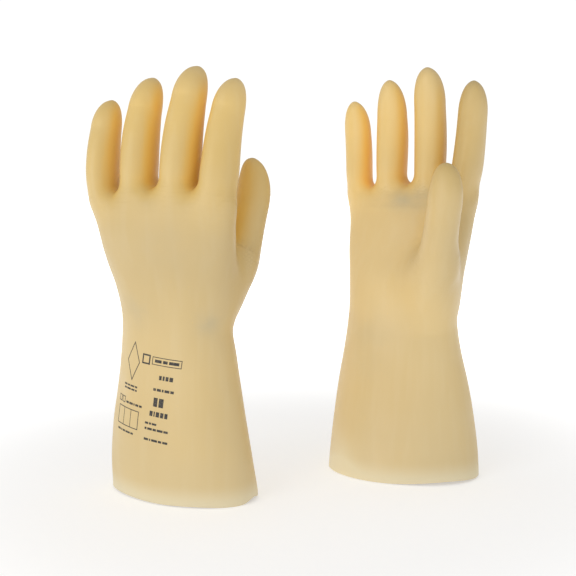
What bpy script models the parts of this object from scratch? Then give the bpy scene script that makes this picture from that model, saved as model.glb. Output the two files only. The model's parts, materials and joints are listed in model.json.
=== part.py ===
"""Pair of latex electrical insulating gloves, standing on their cuff rims at z = 0, fingers up.

Each real glove is one seamless dipped skin. It bends at the wrist, at the root of every finger
stall and at the finger creases, so the skin is divided at those lines into rigid shell sections:
cuff, hand, three sections for each finger and two for the thumb. Every section is a hollow wall
of WALL thickness, open at both ends or closed by a fingertip.

Glove frame (before placing): R (x) to the thumb side, P (y) out of the palm, U (z) up along the
fingers, with its origin at the centre of the cuff rim. The right glove is mirrored in P.
All sizes below are in millimetres and all angles in degrees.
"""

import math
from collections import namedtuple

import bmesh
import bpy
from mathutils import Matrix, Vector

MM = 0.001

WALL = 1.0              # latex thickness, class 0
GAP = 0.6               # slit left between two sections at a bending line
SPARE = 4.0             # how far a notch opens beyond the flexing range
TUBE_FACETS = 16        # round a finger
BODY_FACETS = 32        # round cuff and palm
SHARP_ANGLE = 40.0      # edges bent more than this are shaded sharp

# Gauntlet and palm: height U, centre R, centre P, half width, half depth, twist.
BODY = (
    (0.0, 0.0, -7.0, 69.0, 44.0, 0.0),
    (30.0, -0.5, -11.0, 67.0, 43.0, 0.0),
    (60.0, -1.0, -13.0, 63.0, 40.5, 0.0),
    (86.0, -1.0, -13.0, 58.5, 38.0, 0.0),
    (114.0, -1.0, -12.5, 53.0, 37.0, 1.0),
    (141.0, -1.0, -13.0, 49.5, 35.0, 3.0),
    (158.0, 0.0, -13.8, 50.0, 34.6, 5.0),
    (180.0, 0.8, -18.0, 52.6, 33.8, 7.8),
    (200.0, 1.6, -24.5, 55.2, 32.4, 10.2),
    (220.0, 2.6, -31.0, 57.5, 30.4, 11.0),
    (240.0, 3.1, -35.3, 59.6, 26.8, 10.0),
    (253.0, 2.0, -37.8, 61.6, 22.5, 9.0),
    (262.0, 1.8, -39.0, 60.5, 16.5, 9.0),
)
CUFF_HEIGHTS = (0.0, 30.0, 58.0, 86.0, 112.0)
HAND_HEIGHTS = (174.0, 187.0, 200.0, 213.0, 226.0, 238.0, 248.0, 256.0, 262.0)
WRIST_HEIGHT = 148.0
WRIST_RANGE = (20.0, 15.0)      # towards the palm, towards the back

# The hand's hollow starts below the wrist line, so that it cuts the wall open there.
HOLLOW_START = 4.0              # how far below the wrist its first outline is taken
HOLLOW_DROP = 8.0               # how much lower that outline is then set

# Row of the finger roots.
KNUCKLE_R = 1.5
KNUCKLE_P = -38.5
KNUCKLE_TWIST = 9.0
FLEX_TWIST = 6.0                # turn of the finger pads from P towards the little finger's side

# Fingers: place across the knuckle row, height of the root joint, lean towards the thumb side,
# rest curl of the three sections, their lengths, half widths and half depths at the root, middle
# and tip joints.
FINGERS = {
    "little": dict(across=-52.3, height=265.0, lean=-0.7, curl=(2.0, 9.5, 18.0),
                   lengths=(23.0, 21.0, 24.5),
                   half_widths=(11.5, 12.0, 11.7), half_depths=(17.0, 15.8, 13.8)),
    "ring": dict(across=-21.0, height=269.0, lean=1.3, curl=(3.0, 11.5, 20.5),
                 lengths=(31.0, 24.0, 27.8),
                 half_widths=(13.4, 14.0, 13.0), half_depths=(18.8, 17.2, 14.8)),
    "middle": dict(across=15.5, height=273.6, lean=1.5, curl=(4.0, 13.0, 23.0),
                   lengths=(33.0, 26.5, 28.5),
                   half_widths=(14.0, 14.6, 13.8), half_depths=(19.6, 18.0, 15.3)),
    "index": dict(across=50.8, height=269.0, lean=5.0, curl=(5.0, 12.0, 19.0),
                  lengths=(31.0, 24.0, 26.5),
                  half_widths=(13.6, 13.6, 12.9), half_depths=(18.4, 17.3, 15.2)),
}
KNUCKLE_RANGE = (50.0, 5.0)     # curl towards the palm, bend back
MIDDLE_RANGE = (50.0, 0.0)
TIP_RATIO = 0.5                 # a fingertip follows its middle joint

THUMB = dict(root=(38.6, 28.6, 212.0), pad_facing=(-0.6, -0.8), lean=2.0, curl=(-4.0, -4.5),
             lengths=(37.0, 35.0), half_widths=(15.2, 14.4), half_depths=(16.0, 15.2))
THUMB_RANGE = (15.0, 20.0)      # towards the palm, away from it
THUMB_TIP_RANGE = (35.0, 0.0)

# Thumb mound on the palm: centre R, P, U, half width, half depth.
THUMB_MOUND = (
    (20.0, -3.0, 160.0, 25.0, 25.0),
    (27.5, 10.0, 180.0, 24.0, 24.5),
    (36.6, 20.2, 197.0, 19.5, 20.0),
)

PAD_SHIFT = 0.5         # share of the half depth by which a joint's axis lies nearer the pad

# A finger's root tapers down into the palm below a straight neck.
NECK_LENGTH = 16.0
TAPER_DEPTH = 40.0              # lower end of the taper, below the root
TAPER_PAD_OFFSET = 4.0          # its shift towards the pad
TAPER_WIDTH_SHARE = 0.5
TAPER_DEPTH_SHARE = 0.3
BORE_OVERRUN = 16.0             # how far a root's bore runs on past the root joint

# Fingertip: an ogive with rings at these shares of its length.
TIP_STATIONS = (0.32, 0.56, 0.76, 0.90, 0.975)
TIP_BLUNTNESS = 0.15

# The gloves came off their formers a little differently: extra sideways lean of some stalls, and
# extra bend of the thumb's two sections.
GLOVES = {
    "left": dict(side=1.0, at=(-93.0, -21.5), yaw=-28.0,
                 lean={"little": -0.3, "ring": -0.3, "index": -2.0}, thumb_bend=(0.5, 1.0)),
    "right": dict(side=-1.0, at=(93.4, 21.5), yaw=-17.5,
                  lean={"little": 0.7, "ring": 0.7, "index": 2.0, "thumb": 1.5},
                  thumb_bend=(-3.5, -6.0)),
}

LATEX_COLOUR = (0.80, 0.62, 0.33)
LATEX_ROUGHNESS = 0.45
LATEX_TINTS = {"cuff": 0.97, "hand": 1.0, "finger": 1.03}   # brightness of each kind of section

# Directions of a tube: along it, towards its pad (palm side), and sideways.
Axes = namedtuple("Axes", "along pad lateral")


def sin_cos(degrees):
    return math.sin(math.radians(degrees)), math.cos(math.radians(degrees))


# ---- Rings: cross-sections as lists of points ----

class Rim:
    """The slanted end of a section at a bending line: a shallow V, so that the section can turn.

    The point of the V lies on the joint's axis, at depth `axis` towards the pad.
    """

    def __init__(self, flex, back, rest=0.0, axis=0.0):
        self.pad_slope = math.tan(math.radians((flex + SPARE) / 2 + rest / 2))
        self.back_slope = math.tan(math.radians((back + SPARE) / 2 - rest / 2))
        self.axis = axis

    def height(self, y):
        y -= self.axis
        return GAP / 2 + (y * self.pad_slope if y > 0 else -y * self.back_slope)


WRIST_RIM = Rim(*WRIST_RANGE)


def tube_ring(centre, axes, half_width, half_depth, rim=None, upper=False, facets=TUBE_FACETS):
    """An ellipse across a tube. With a rim, each point slides along the tube to the V.

    `upper` marks the upper end of the section below the bending line.
    """
    points = []
    for k in range(facets):
        angle = 2 * math.pi * (k + 0.5) / facets
        x, y = half_width * math.cos(angle), half_depth * math.sin(angle)
        z = 0.0 if rim is None else (-rim.height(y) if upper else rim.height(y))
        points.append(centre + axes.lateral * x + axes.pad * y + axes.along * z)
    return points


def body_row(height):
    """The BODY values near a height, on a Catmull-Rom curve that smooths the height column too."""
    last = len(BODY) - 1
    i = 0
    while i < last - 1 and BODY[i + 1][0] < height:
        i += 1
    before, low, high, after = BODY[max(i - 1, 0)], BODY[i], BODY[i + 1], BODY[min(i + 2, last)]
    t = (height - low[0]) / (high[0] - low[0])
    row = []
    for k in range(len(low)):
        low_slope = 0.5 * (high[k] - before[k])
        high_slope = 0.5 * (after[k] - low[k])
        row.append((2 * t**3 - 3 * t**2 + 1) * low[k] + (t**3 - 2 * t**2 + t) * low_slope
                   + (-2 * t**3 + 3 * t**2) * high[k] + (t**3 - t**2) * high_slope)
    return row


def body_ring(height, inset, rim=None, upper=False, drop=0.0):
    """One ring of the gauntlet or palm, set lower by `drop` than its place in the table."""
    level, centre_r, centre_p, half_width, half_depth, twist = body_row(height)
    sine, cosine = sin_cos(twist)
    axes = Axes(along=Vector((0.0, 0.0, 1.0)), pad=Vector((-sine, cosine, 0.0)),
                lateral=Vector((cosine, sine, 0.0)))
    return tube_ring(Vector((centre_r, centre_p, level - drop)), axes, half_width - inset,
                     half_depth - inset, rim, upper, BODY_FACETS)


# ---- Meshes from rings ----

def add_rings(bm, rings):
    return [[bm.verts.new(point * MM) for point in ring] for ring in rings]


def bridge(bm, first, second):
    """A band of faces between two rings."""
    count = len(first)
    for k in range(count):
        after = (k + 1) % count
        bm.faces.new((first[k], first[after], second[after], second[k]))


def skin(bm, rings):
    for low, high in zip(rings, rings[1:]):
        bridge(bm, low, high)


def fan(bm, ring, point):
    """Closes a ring onto a point."""
    tip = bm.verts.new(point * MM)
    count = len(ring)
    for k in range(count):
        bm.faces.new((ring[k], ring[(k + 1) % count], tip))


def shade(mesh):
    mesh.shade_smooth()
    mesh.set_sharp_from_angle(angle=math.radians(SHARP_ANGLE))


def mesh_from(bm, name):
    """Triangulated mesh with its faces turned outwards."""
    bmesh.ops.recalc_face_normals(bm, faces=bm.faces)
    if bm.calc_volume(signed=True) < 0:
        bmesh.ops.reverse_faces(bm, faces=bm.faces)
    bmesh.ops.triangulate(bm, faces=bm.faces)
    mesh = bpy.data.meshes.new(name)
    bm.to_mesh(mesh)
    bm.free()
    shade(mesh)
    return mesh


def shell_mesh(name, outer_rings, inner_rings, tips=None):
    """A wall between two runs of rings, open at the top or closed by outer and inner tips."""
    bm = bmesh.new()
    outer, inner = add_rings(bm, outer_rings), add_rings(bm, inner_rings)
    skin(bm, outer)
    skin(bm, inner)
    bridge(bm, outer[0], inner[0])
    if tips:
        fan(bm, outer[-1], tips[0])
        fan(bm, inner[-1], tips[1])
    else:
        bridge(bm, outer[-1], inner[-1])
    return mesh_from(bm, name)


def solid_mesh(name, rings):
    """A capped run of rings."""
    bm = bmesh.new()
    added = add_rings(bm, rings)
    skin(bm, added)
    bm.faces.new(added[0])
    bm.faces.new(added[-1])
    return mesh_from(bm, name)


# ---- Finger and thumb stalls ----

class Stall:
    """A hollow finger or thumb: its joints, directions and sections, in the glove frame."""

    def __init__(self, name, form, root, pad_facing, lean, curl, root_bend):
        self.name = name
        self.curl = curl
        self.lengths = form["lengths"]
        self.half_widths = form["half_widths"]
        self.half_depths = form["half_depths"]

        # Directions of the straight stall.
        sine, cosine = sin_cos(lean)
        pad = Vector((pad_facing[0], pad_facing[1], 0.0)).normalized()
        side = Vector((pad.y, -pad.x, 0.0))
        self.straight = Axes(along=side * sine + Vector((0.0, 0.0, cosine)), pad=pad,
                             lateral=side * cosine - Vector((0.0, 0.0, sine)))

        self.shifts = [depth * share for depth, share in zip(self.half_depths, self.pad_shifts)]
        self.joints = [Vector(root) + self.axes(0).pad * self.shifts[0]]
        for k, length in enumerate(self.lengths[:-1]):
            self.joints.append(self.joints[-1] + self.axes(k).along * length)
        bends = [root_bend] + [high - low for low, high in zip(curl, curl[1:])]
        self.rims = [Rim(flex, back, bend, axis)
                     for (flex, back), bend, axis in zip(self.ranges, bends, self.shifts)]

    def axes(self, k):
        """Directions of section k, curled towards the pad."""
        sine, cosine = sin_cos(self.curl[k])
        along, pad, lateral = self.straight
        return Axes(along * cosine + pad * sine, pad * cosine - along * sine, lateral)

    def centre(self, k):
        """Middle of the tube at joint k, seen from the section above it."""
        return self.joints[k] - self.axes(k).pad * self.shifts[k]

    def lower_ring(self, k, inset):
        return tube_ring(self.centre(k), self.axes(k), self.half_widths[k] - inset,
                         self.half_depths[k] - inset, self.rims[k])

    def upper_ring(self, k, inset):
        axes = self.axes(k)
        centre = self.joints[k] + axes.along * self.lengths[k] - axes.pad * self.shifts[k + 1]
        return tube_ring(centre, axes, self.half_widths[k + 1] - inset,
                         self.half_depths[k + 1] - inset, self.rims[k + 1], upper=True)

    def tip_rings(self, inset):
        """Rings of the ogive and its blunt point, which lies nearer the pad than the nail."""
        axes, start = self.axes(-1), self.centre(-1)
        length = self.lengths[-1] - inset
        hook = axes.pad * (self.tip_hook * self.half_depths[-1])
        rings = []
        for t in TIP_STATIONS:
            share = math.sqrt(1.0 - ((t + TIP_BLUNTNESS) / (1.0 + TIP_BLUNTNESS)) ** 2)
            rings.append(tube_ring(start + axes.along * (length * t) + hook * t**2, axes,
                                   (self.half_widths[-1] - inset) * share,
                                   (self.half_depths[-1] - inset) * share))
        return rings, start + axes.along * length + hook

    def section(self, k):
        """Mesh of section k."""
        is_tip = k == len(self.lengths) - 1
        walls, tips = [], []
        for inset in (0.0, WALL):
            rings = [self.lower_ring(k, inset)]
            if is_tip:
                ogive, tip = self.tip_rings(inset)
                rings += ogive
                tips.append(tip)
            else:
                rings.append(self.upper_ring(k, inset))
            walls.append(rings)
        return shell_mesh(f"{self.name}_{k}", walls[0], walls[1], tips)

    def root_solid(self):
        """The short root that stays with the hand, as a solid."""
        end = tube_ring(self.centre(0), self.axes(0), self.half_widths[0], self.half_depths[0],
                        self.rims[0], upper=True)
        return solid_mesh(self.name, self.root_rings(0.0) + [end])

    def root_bore(self):
        """The hollow of the root, running out through its rim."""
        axes, root = self.axes(0), self.centre(0)
        ends = [tube_ring(centre, axes, self.half_widths[0] - WALL, self.half_depths[0] - WALL)
                for centre in (root, root + axes.along * BORE_OVERRUN)]
        return solid_mesh(self.name, self.root_rings(WALL) + ends)


class Finger(Stall):
    parts = ("base", "middle", "tip")
    pad_shifts = (PAD_SHIFT,) * 3
    ranges = (KNUCKLE_RANGE, MIDDLE_RANGE, (MIDDLE_RANGE[0] * TIP_RATIO, 0.0))
    tip_hook = 0.22     # share of the half depth by which the tip hooks towards the pad

    def root_rings(self, inset):
        axes, root = self.axes(0), self.centre(0)
        half_width, half_depth = self.half_widths[0] - inset, self.half_depths[0] - inset
        return [
            tube_ring(root - axes.along * TAPER_DEPTH + axes.pad * TAPER_PAD_OFFSET, axes,
                      half_width * TAPER_WIDTH_SHARE, half_depth * TAPER_DEPTH_SHARE),
            tube_ring(root - axes.along * NECK_LENGTH, axes, half_width, half_depth),
        ]


class Thumb(Stall):
    parts = ("base", "tip")
    pad_shifts = (0.0, PAD_SHIFT)
    ranges = (THUMB_RANGE, THUMB_TIP_RANGE)
    tip_hook = 0.05

    def root_rings(self, inset):
        # The mound's rings stay in planes across the curled thumb.
        axes = self.axes(0)
        slant = (self.straight.along + axes.along * 2 - self.straight.pad * 0.5).normalized()
        axes = axes._replace(along=slant)
        return [tube_ring(Vector(centre), axes, half_width - inset, half_depth - inset)
                for *centre, half_width, half_depth in THUMB_MOUND]


def make_finger(name, extra_lean):
    form = FINGERS[name]
    sine, cosine = sin_cos(KNUCKLE_TWIST)
    root = (KNUCKLE_R + form["across"] * cosine, KNUCKLE_P + form["across"] * sine,
            form["height"])
    flex_sine, flex_cosine = sin_cos(FLEX_TWIST)
    return Finger(name, form, root, (-flex_sine, flex_cosine), form["lean"] + extra_lean,
                  form["curl"], root_bend=form["curl"][0])


def make_thumb(extra_lean, extra_bend):
    curl = tuple(angle + extra for angle, extra in zip(THUMB["curl"], extra_bend))
    return Thumb("thumb", THUMB, THUMB["root"], THUMB["pad_facing"], THUMB["lean"] + extra_lean,
                 curl, root_bend=0.0)


# ---- Cuff and hand ----

def cuff_mesh():
    """The flared gauntlet, open at the rim and at the wrist."""
    outer, inner = ([body_ring(height, inset) for height in CUFF_HEIGHTS]
                    + [body_ring(WRIST_HEIGHT, inset, WRIST_RIM, upper=True)]
                    for inset in (0.0, WALL))
    return shell_mesh("cuff", outer, inner)


def hand_outer_mesh():
    rings = [body_ring(WRIST_HEIGHT, 0.0, WRIST_RIM)]
    rings += [body_ring(height, 0.0) for height in HAND_HEIGHTS]
    return solid_mesh("hand_outer", rings)


def hand_inner_mesh():
    """The hand's hollow, open through the wrist and stopping a wall's thickness below the top."""
    rings = [body_ring(WRIST_HEIGHT - HOLLOW_START, WALL, drop=HOLLOW_DROP),
             body_ring(WRIST_HEIGHT, WALL, WRIST_RIM)]
    rings += [body_ring(height, WALL) for height in HAND_HEIGHTS[:-1]]
    rings.append(body_ring(HAND_HEIGHTS[-1], WALL, drop=WALL))
    return solid_mesh("hand_inner", rings)


def helper(name, mesh):
    """A hidden object for the booleans."""
    obj = bpy.data.objects.new(name, mesh)
    obj.hide_render = True
    obj.display_type = "WIRE"
    bpy.context.scene.collection.objects.link(obj)
    return obj


def hand_mesh(stalls):
    """Palm, finger roots and thumb root in one hollow wall, open at the wrist and at each root."""
    hand = helper("hand_outer", hand_outer_mesh())
    roots = [helper(f"{stall.name}_root", stall.root_solid()) for stall in stalls]
    hollows = [helper("hand_inner", hand_inner_mesh())]
    hollows += [helper(f"{stall.name}_bore", stall.root_bore()) for stall in stalls]
    for operation, tools in (("UNION", roots), ("DIFFERENCE", hollows)):
        for tool in tools:
            modifier = hand.modifiers.new(tool.name, "BOOLEAN")
            modifier.operation = operation
            modifier.solver = "EXACT"
            modifier.object = tool
    bpy.context.view_layer.update()
    graph = bpy.context.evaluated_depsgraph_get()
    mesh = bpy.data.meshes.new_from_object(hand.evaluated_get(graph))
    for obj in [hand] + roots + hollows:
        bpy.data.objects.remove(obj, do_unlink=True)
    shade(mesh)
    return mesh


# ---- Assembly ----

def clear_scene():
    for obj in list(bpy.data.objects):
        bpy.data.objects.remove(obj, do_unlink=True)


def latex_material(name, tint):
    material = bpy.data.materials.new(name)
    material.use_nodes = True
    inputs = material.node_tree.nodes["Principled BSDF"].inputs
    inputs["Base Color"].default_value = (*(channel * tint for channel in LATEX_COLOUR), 1.0)
    inputs["Roughness"].default_value = LATEX_ROUGHNESS
    inputs["Metallic"].default_value = 0.0
    return material


def place(name, mesh, pivot, side, parent, parent_pivot, material):
    """Mirrors a right glove's mesh, moves its origin to its joint and hangs it on its parent."""
    to_side = Matrix.Diagonal((1.0, side, 1.0, 1.0))
    mesh.transform(to_side @ Matrix.Translation(-pivot * MM))
    if side < 0:
        mesh.flip_normals()
    # Latex has to be the only slot, whatever the booleans left.
    mesh.materials.clear()
    mesh.materials.append(material)
    obj = bpy.data.objects.new(name, mesh)
    bpy.context.scene.collection.objects.link(obj)
    obj.parent = parent
    obj.location = to_side @ ((pivot - parent_pivot) * MM)
    return obj


def glove_base(glove, spec):
    """The empty that carries a glove."""
    base = bpy.data.objects.new(f"{glove}_glove", None)
    base.location = (spec["at"][0] * MM, spec["at"][1] * MM, 0.0)
    base.rotation_euler = (0.0, 0.0, math.radians(spec["yaw"]))
    bpy.context.scene.collection.objects.link(base)
    return base


def build_glove(glove, spec):
    side, lean = spec["side"], spec["lean"]
    stalls = [make_finger(name, lean.get(name, 0.0)) for name in FINGERS]
    stalls.append(make_thumb(lean.get("thumb", 0.0), spec["thumb_bend"]))
    latex = {kind: latex_material(f"{glove}_{kind}_latex", tint)
             for kind, tint in LATEX_TINTS.items()}

    base = glove_base(glove, spec)
    level, centre_r, centre_p = body_row(WRIST_HEIGHT)[:3]
    rim_centre, wrist = Vector((0.0, 0.0, 0.0)), Vector((centre_r, centre_p, level))
    cuff = place(f"{glove}_cuff", cuff_mesh(), rim_centre, side, base, rim_centre, latex["cuff"])
    hand = place(f"{glove}_hand", hand_mesh(stalls), wrist, side, cuff, rim_centre,
                 latex["hand"])
    for stall in stalls:
        parent, parent_pivot = hand, wrist
        for k, part in enumerate(stall.parts):
            pivot = stall.joints[k]
            parent = place(f"{glove}_{stall.name}_{part}", stall.section(k), pivot, side, parent,
                           parent_pivot, latex["finger"])
            parent_pivot = pivot


def centre_pair():
    """Moves the pair so that the origin is under the middle of its box."""
    bpy.context.view_layer.update()
    points = [obj.matrix_world @ vertex.co for obj in bpy.data.objects if obj.type == "MESH"
              for vertex in obj.data.vertices]
    middle = [(min(point[k] for point in points) + max(point[k] for point in points)) / 2
              for k in (0, 1)]
    for glove in GLOVES:
        bpy.data.objects[f"{glove}_glove"].location -= Vector((*middle, 0.0))
    bpy.context.view_layer.update()


clear_scene()
for glove_name, glove_spec in GLOVES.items():
    build_glove(glove_name, glove_spec)
centre_pair()
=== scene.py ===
"""Looks for a pair of latex electrical insulating gloves, standing on their cuffs, fingers up +Z.

Each glove is one smooth skin, described as an implicit surface in the glove's own frame, meshed
with surface nets and then divided in the middle of the rigid sections, so that no piece spans
more than one joint. Neighbouring pieces share their edge points and their normals, so the skin
stays seamless. Glove frame, in millimetres: R to the thumb side, P out of the palm, U up from the
cuff rim. Points are rows of (R, P, U).
"""

import json
import math
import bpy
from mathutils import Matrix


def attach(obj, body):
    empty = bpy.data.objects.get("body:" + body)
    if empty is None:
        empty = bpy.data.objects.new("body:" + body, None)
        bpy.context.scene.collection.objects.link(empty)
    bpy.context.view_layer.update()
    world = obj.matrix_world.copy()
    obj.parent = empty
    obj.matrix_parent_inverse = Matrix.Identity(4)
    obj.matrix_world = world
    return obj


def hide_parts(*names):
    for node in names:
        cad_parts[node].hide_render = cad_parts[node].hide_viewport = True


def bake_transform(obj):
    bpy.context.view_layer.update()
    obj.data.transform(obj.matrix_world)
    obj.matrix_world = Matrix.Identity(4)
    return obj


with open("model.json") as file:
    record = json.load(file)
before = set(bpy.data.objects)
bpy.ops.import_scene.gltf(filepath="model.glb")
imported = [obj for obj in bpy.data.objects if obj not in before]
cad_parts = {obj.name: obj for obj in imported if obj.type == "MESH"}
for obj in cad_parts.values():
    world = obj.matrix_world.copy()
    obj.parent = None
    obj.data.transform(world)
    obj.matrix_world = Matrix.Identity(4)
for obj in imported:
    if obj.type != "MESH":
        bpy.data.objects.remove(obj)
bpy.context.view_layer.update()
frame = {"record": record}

import bmesh  # noqa: E402
import bpy  # noqa: E402
import numpy as np  # noqa: E402
from mathutils import Vector  # noqa: E402

MM = 0.001
STEP = 1.6      # spacing of the sampling grid
WALL = 1.0                             # latex thickness

# ---------------------------------------------------------------- shape tables

# Gauntlet and palm: height U, centre R, centre P, half width, half depth, twist, squareness.
BODY = (
    (0.0, 0.0, -7.0, 69.0, 44.0, 0.0, 2.0),
    (30.0, -0.5, -11.0, 67.0, 43.0, 0.0, 2.0),
    (60.0, -1.0, -13.0, 63.0, 40.5, 0.0, 2.0),
    (86.0, -1.0, -13.0, 58.5, 38.0, 0.0, 2.0),
    (114.0, -1.0, -12.5, 53.0, 37.0, 1.0, 2.05),
    (141.0, -1.0, -13.0, 49.5, 35.0, 3.0, 2.1),
    (158.0, 0.0, -13.8, 50.0, 34.6, 5.0, 2.15),
    (180.0, 0.8, -18.0, 52.5, 33.8, 7.8, 2.2),
    (200.0, 1.1, -24.5, 55.5, 32.3, 10.2, 2.25),
    (220.0, 2.0, -31.0, 57.6, 30.3, 11.0, 2.3),
    (240.0, 3.4, -35.3, 58.5, 26.5, 10.0, 2.3),
    (253.0, 2.0, -37.8, 60.8, 22.5, 9.0, 2.3),
    (275.0, 1.3, -40.5, 62.5, 18.5, 9.0, 2.3),
)
BODY_TOP = BODY[-1][0]
ROW_STEP = 0.5                         # spacing of the interpolated body rows
RIM_FLAT = 2.0                         # below this height the body is a straight tube
PALM_TOP = dict(height=259.0, crown_at=6.0, fall=0.0022, rounding=13.0)
WRIST_U = 148.0

# Line of the knuckles: its middle R and P, and its turn in degrees.
KNUCKLE_LINE = (1.5, -38.5, 9.0)
FLEX_TWIST = 6.0                       # turn of the fingers' bending direction, degrees
PAD_SHIFT = 0.5                        # joint's offset to the pad side, as a share of half depth

# Place along the knuckle line, height, sideways lean; then for each section its curl, length,
# half width and half depth. Angles in degrees.
FINGERS = {
    "little": dict(across=-52.3, height=265.0, lean=-0.7, curl=(2.0, 9.5, 18.0),
                   length=(23.0, 21.0, 24.5), width=(11.3, 11.8, 11.6), depth=(19.0, 17.2, 14.2)),
    "ring": dict(across=-20.0, height=269.0, lean=1.3, curl=(3.0, 11.5, 20.5),
                 length=(31.0, 24.0, 27.8), width=(13.0, 13.6, 12.9), depth=(21.5, 18.8, 15.2)),
    "middle": dict(across=17.0, height=273.6, lean=1.5, curl=(4.0, 13.0, 23.0),
                   length=(33.0, 26.5, 28.5), width=(13.7, 14.2, 13.6), depth=(22.5, 19.6, 15.7)),
    "index": dict(across=50.8, height=269.0, lean=5.0, curl=(5.0, 12.0, 19.0),
                  length=(31.0, 24.0, 26.5), width=(13.6, 13.3, 12.8), depth=(22.0, 19.0, 15.6)),
}
THUMB = dict(root=(38.6, 28.6, 212.0), pad=(-0.6, -0.8), lean=2.0, curl=(-4.0, -4.5),
             length=(37.0, 35.0), width=(15.2, 14.4), depth=(16.0, 15.2))
# Start of the thumb's centre line: R, P, U, half width, half depth.
THUMB_MOUND = (
    (20.0, -3.0, 160.0, 25.0, 25.0),
    (27.5, 10.0, 180.0, 24.0, 24.5),
    (36.6, 20.2, 197.0, 19.5, 20.0),
)
# A finger's centre line inside the palm: way down from its root, way to the pad side, shift to
# the palm's middle as a share of the finger's place, and shares of half width and half depth.
FINGER_ROOT = ((46.0, 12.0, 0.28, 0.4, 0.28), (20.0, 1.5, 0.055, 0.90, 0.82))
STALLS = (*FINGERS, "thumb")
WORDS = {3: ("base", "middle", "tip"), 2: ("base", "tip")}
TIP_REACH = 0.15                       # share of the last section that the tip's cap takes back
TIP_POWER = {"thumb": 2.45, "other": 2.1}
TIP_HOOK = {"thumb": 0.05, "other": 0.20}
MAX_HOOK_RUN = 1.15
START_DOME = 12.0
NIB = dict(height=0.7, spread=3.0)     # drop of latex at each tip
STALL_MARGIN = 30.0                    # room round a stall where its distance is exact
FAR = 40.0                             # distance reported beyond that room
SEGMENT_OFFSETS = (0, -1, 1, -2, 2, -3, 3, -5, 5)

# Widths over which neighbouring shapes melt together.
FINGER_BLEND = 2.5
PALM_BLEND = 12.0
THUMB_BLEND = 15.0

# The gloves came off their formers a little differently: degrees of sideways lean and curl added
# to the fingers, degrees added to the thumb's two curls, millimetres of length added to the tips
# and of half width added to the sections.
POSES = {
    "left": dict(lean={"middle": 0.6, "little": -0.3, "index": -2.0},
                 curl=2.0, thumb_curl=(0.5, 1.0), longer=-1.2, thumb_longer=0.0,
                 fuller={"ring": 0.9, "middle": 0.9, "index": 0.4}),
    "right": dict(lean={"little": 0.7, "ring": 0.7, "index": 2.0, "thumb": 1.5},
                  curl=-2.0, thumb_curl=(-4.0, -6.5), longer=1.0, thumb_longer=-2.4, fuller={}),
}
CURL_SHARES = (0.6, 1.0, 1.4)          # of the added curl, by section
FULLER_SHARES = (1.0, 0.9, 0.3)        # of the added half width, by section
CUFF_SHIFT = {"left": 0.0, "right": 2.0}     # of the cuff, towards the thumb side
CUFF_SHIFT_FADE = (55.0, 140.0)

# Where a piece of skin ends and the next begins, and how far each joint's bending spreads.
WRIST_CUT = 133.0
KNUCKLE_START = {"little": -5.0, "ring": -3.0, "middle": -3.0, "index": -4.0, "thumb": 0.0}
CUT_SHARE = 0.55
TIP_BEND_SHARE = 0.5
EXTRA_BEND = 2.0                       # how much further a bend may reach past its joint
STALL_FLOOR = 190.0                    # skin below this belongs to no stall

# Slow undulation of the skin: seeds, and ranges of wave length and height.
SEEDS = {"left": 11, "right": 23}
WAVES = 9
WAVE_LENGTH = (45.0, 110.0)
WAVE_HEIGHT = (0.07, 0.17)
# Dents: depth, centre, size.
PALM_HOLLOW = (1.6, (-8.0, 2.0, 206.0), (24.0, 22.0, 24.0))
THUMB_FOLD = (2.2, (44.0, 8.0, 146.0), (20.0, 19.0, 12.0))     # below the thumb
DENTS = {"left": (PALM_HOLLOW, THUMB_FOLD), "right": (PALM_HOLLOW,)}

# The rim's line. Waves: height, waves per turn, phase. Nicks: height, angle, spread, in radians.
RIM_WAVES = {"left": ((0.35, 2, 0.8), (0.25, 5, 2.0)), "right": ((0.15, 3, 0.6), (0.10, 4, 0.0))}
RIM_NICKS = {"left": ((3.2, 0.0, 0.20),), "right": ((2.3, 0.75, 0.55), (1.3, -0.1, 0.30))}
RIM_FADE = 60.0


# ---------------------------------------------------------------- small maths

def catmull(table, heights):
    """Rows of the table at the heights, along a Catmull-Rom curve."""
    table = np.asarray(table, float)
    knots = table[:, 0]
    last = len(knots) - 1
    heights = np.clip(np.asarray(heights, float), knots[0], knots[-1])
    i = np.clip(np.searchsorted(knots, heights, side="right") - 1, 0, last - 1)
    low, high = table[i], table[i + 1]
    before, after = table[np.maximum(i - 1, 0)], table[np.minimum(i + 2, last)]
    x = ((heights - knots[i]) / (knots[i + 1] - knots[i]))[:, None]
    slope_low, slope_high = 0.5 * (high - before), 0.5 * (after - low)
    return ((2 * x**3 - 3 * x**2 + 1) * low + (x**3 - 2 * x**2 + x) * slope_low
            + (-2 * x**3 + 3 * x**2) * high + (x**3 - x**2) * slope_high)


def smooth_min(first, second, width):
    overlap = np.maximum(width - np.abs(first - second), 0.0) / width
    return np.minimum(first, second) - overlap * overlap * width * 0.25


def smooth_max(first, second, width):
    return -smooth_min(-first, -second, width)


def smoothstep(value, low, high):
    x = np.clip((value - low) / (high - low), 0.0, 1.0)
    return x * x * (3 - 2 * x)


def blob(points, centre, size):
    """A soft spot: 1 at its centre, fading out over its size."""
    return np.exp(-(((points - np.array(centre)) / np.array(size)) ** 2).sum(1))


def unit(vectors):
    return vectors / np.linalg.norm(vectors, axis=-1, keepdims=True)


def dots(first, second):
    return (first * second).sum(1)


def sin_cos(degrees):
    angle = math.radians(degrees)
    return math.sin(angle), math.cos(angle)


def leaning_axes(pad, lean):
    """Directions along, to the pad and sideways of a stall that leans sideways by degrees."""
    pad = unit(np.array([pad[0], pad[1], 0.0]))
    side = np.array([pad[1], -pad[0], 0.0])
    sine, cosine = sin_cos(lean)
    along = side * sine + np.array([0.0, 0.0, cosine])
    lateral = side * cosine - np.array([0.0, 0.0, sine])
    return along, pad, lateral


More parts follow.
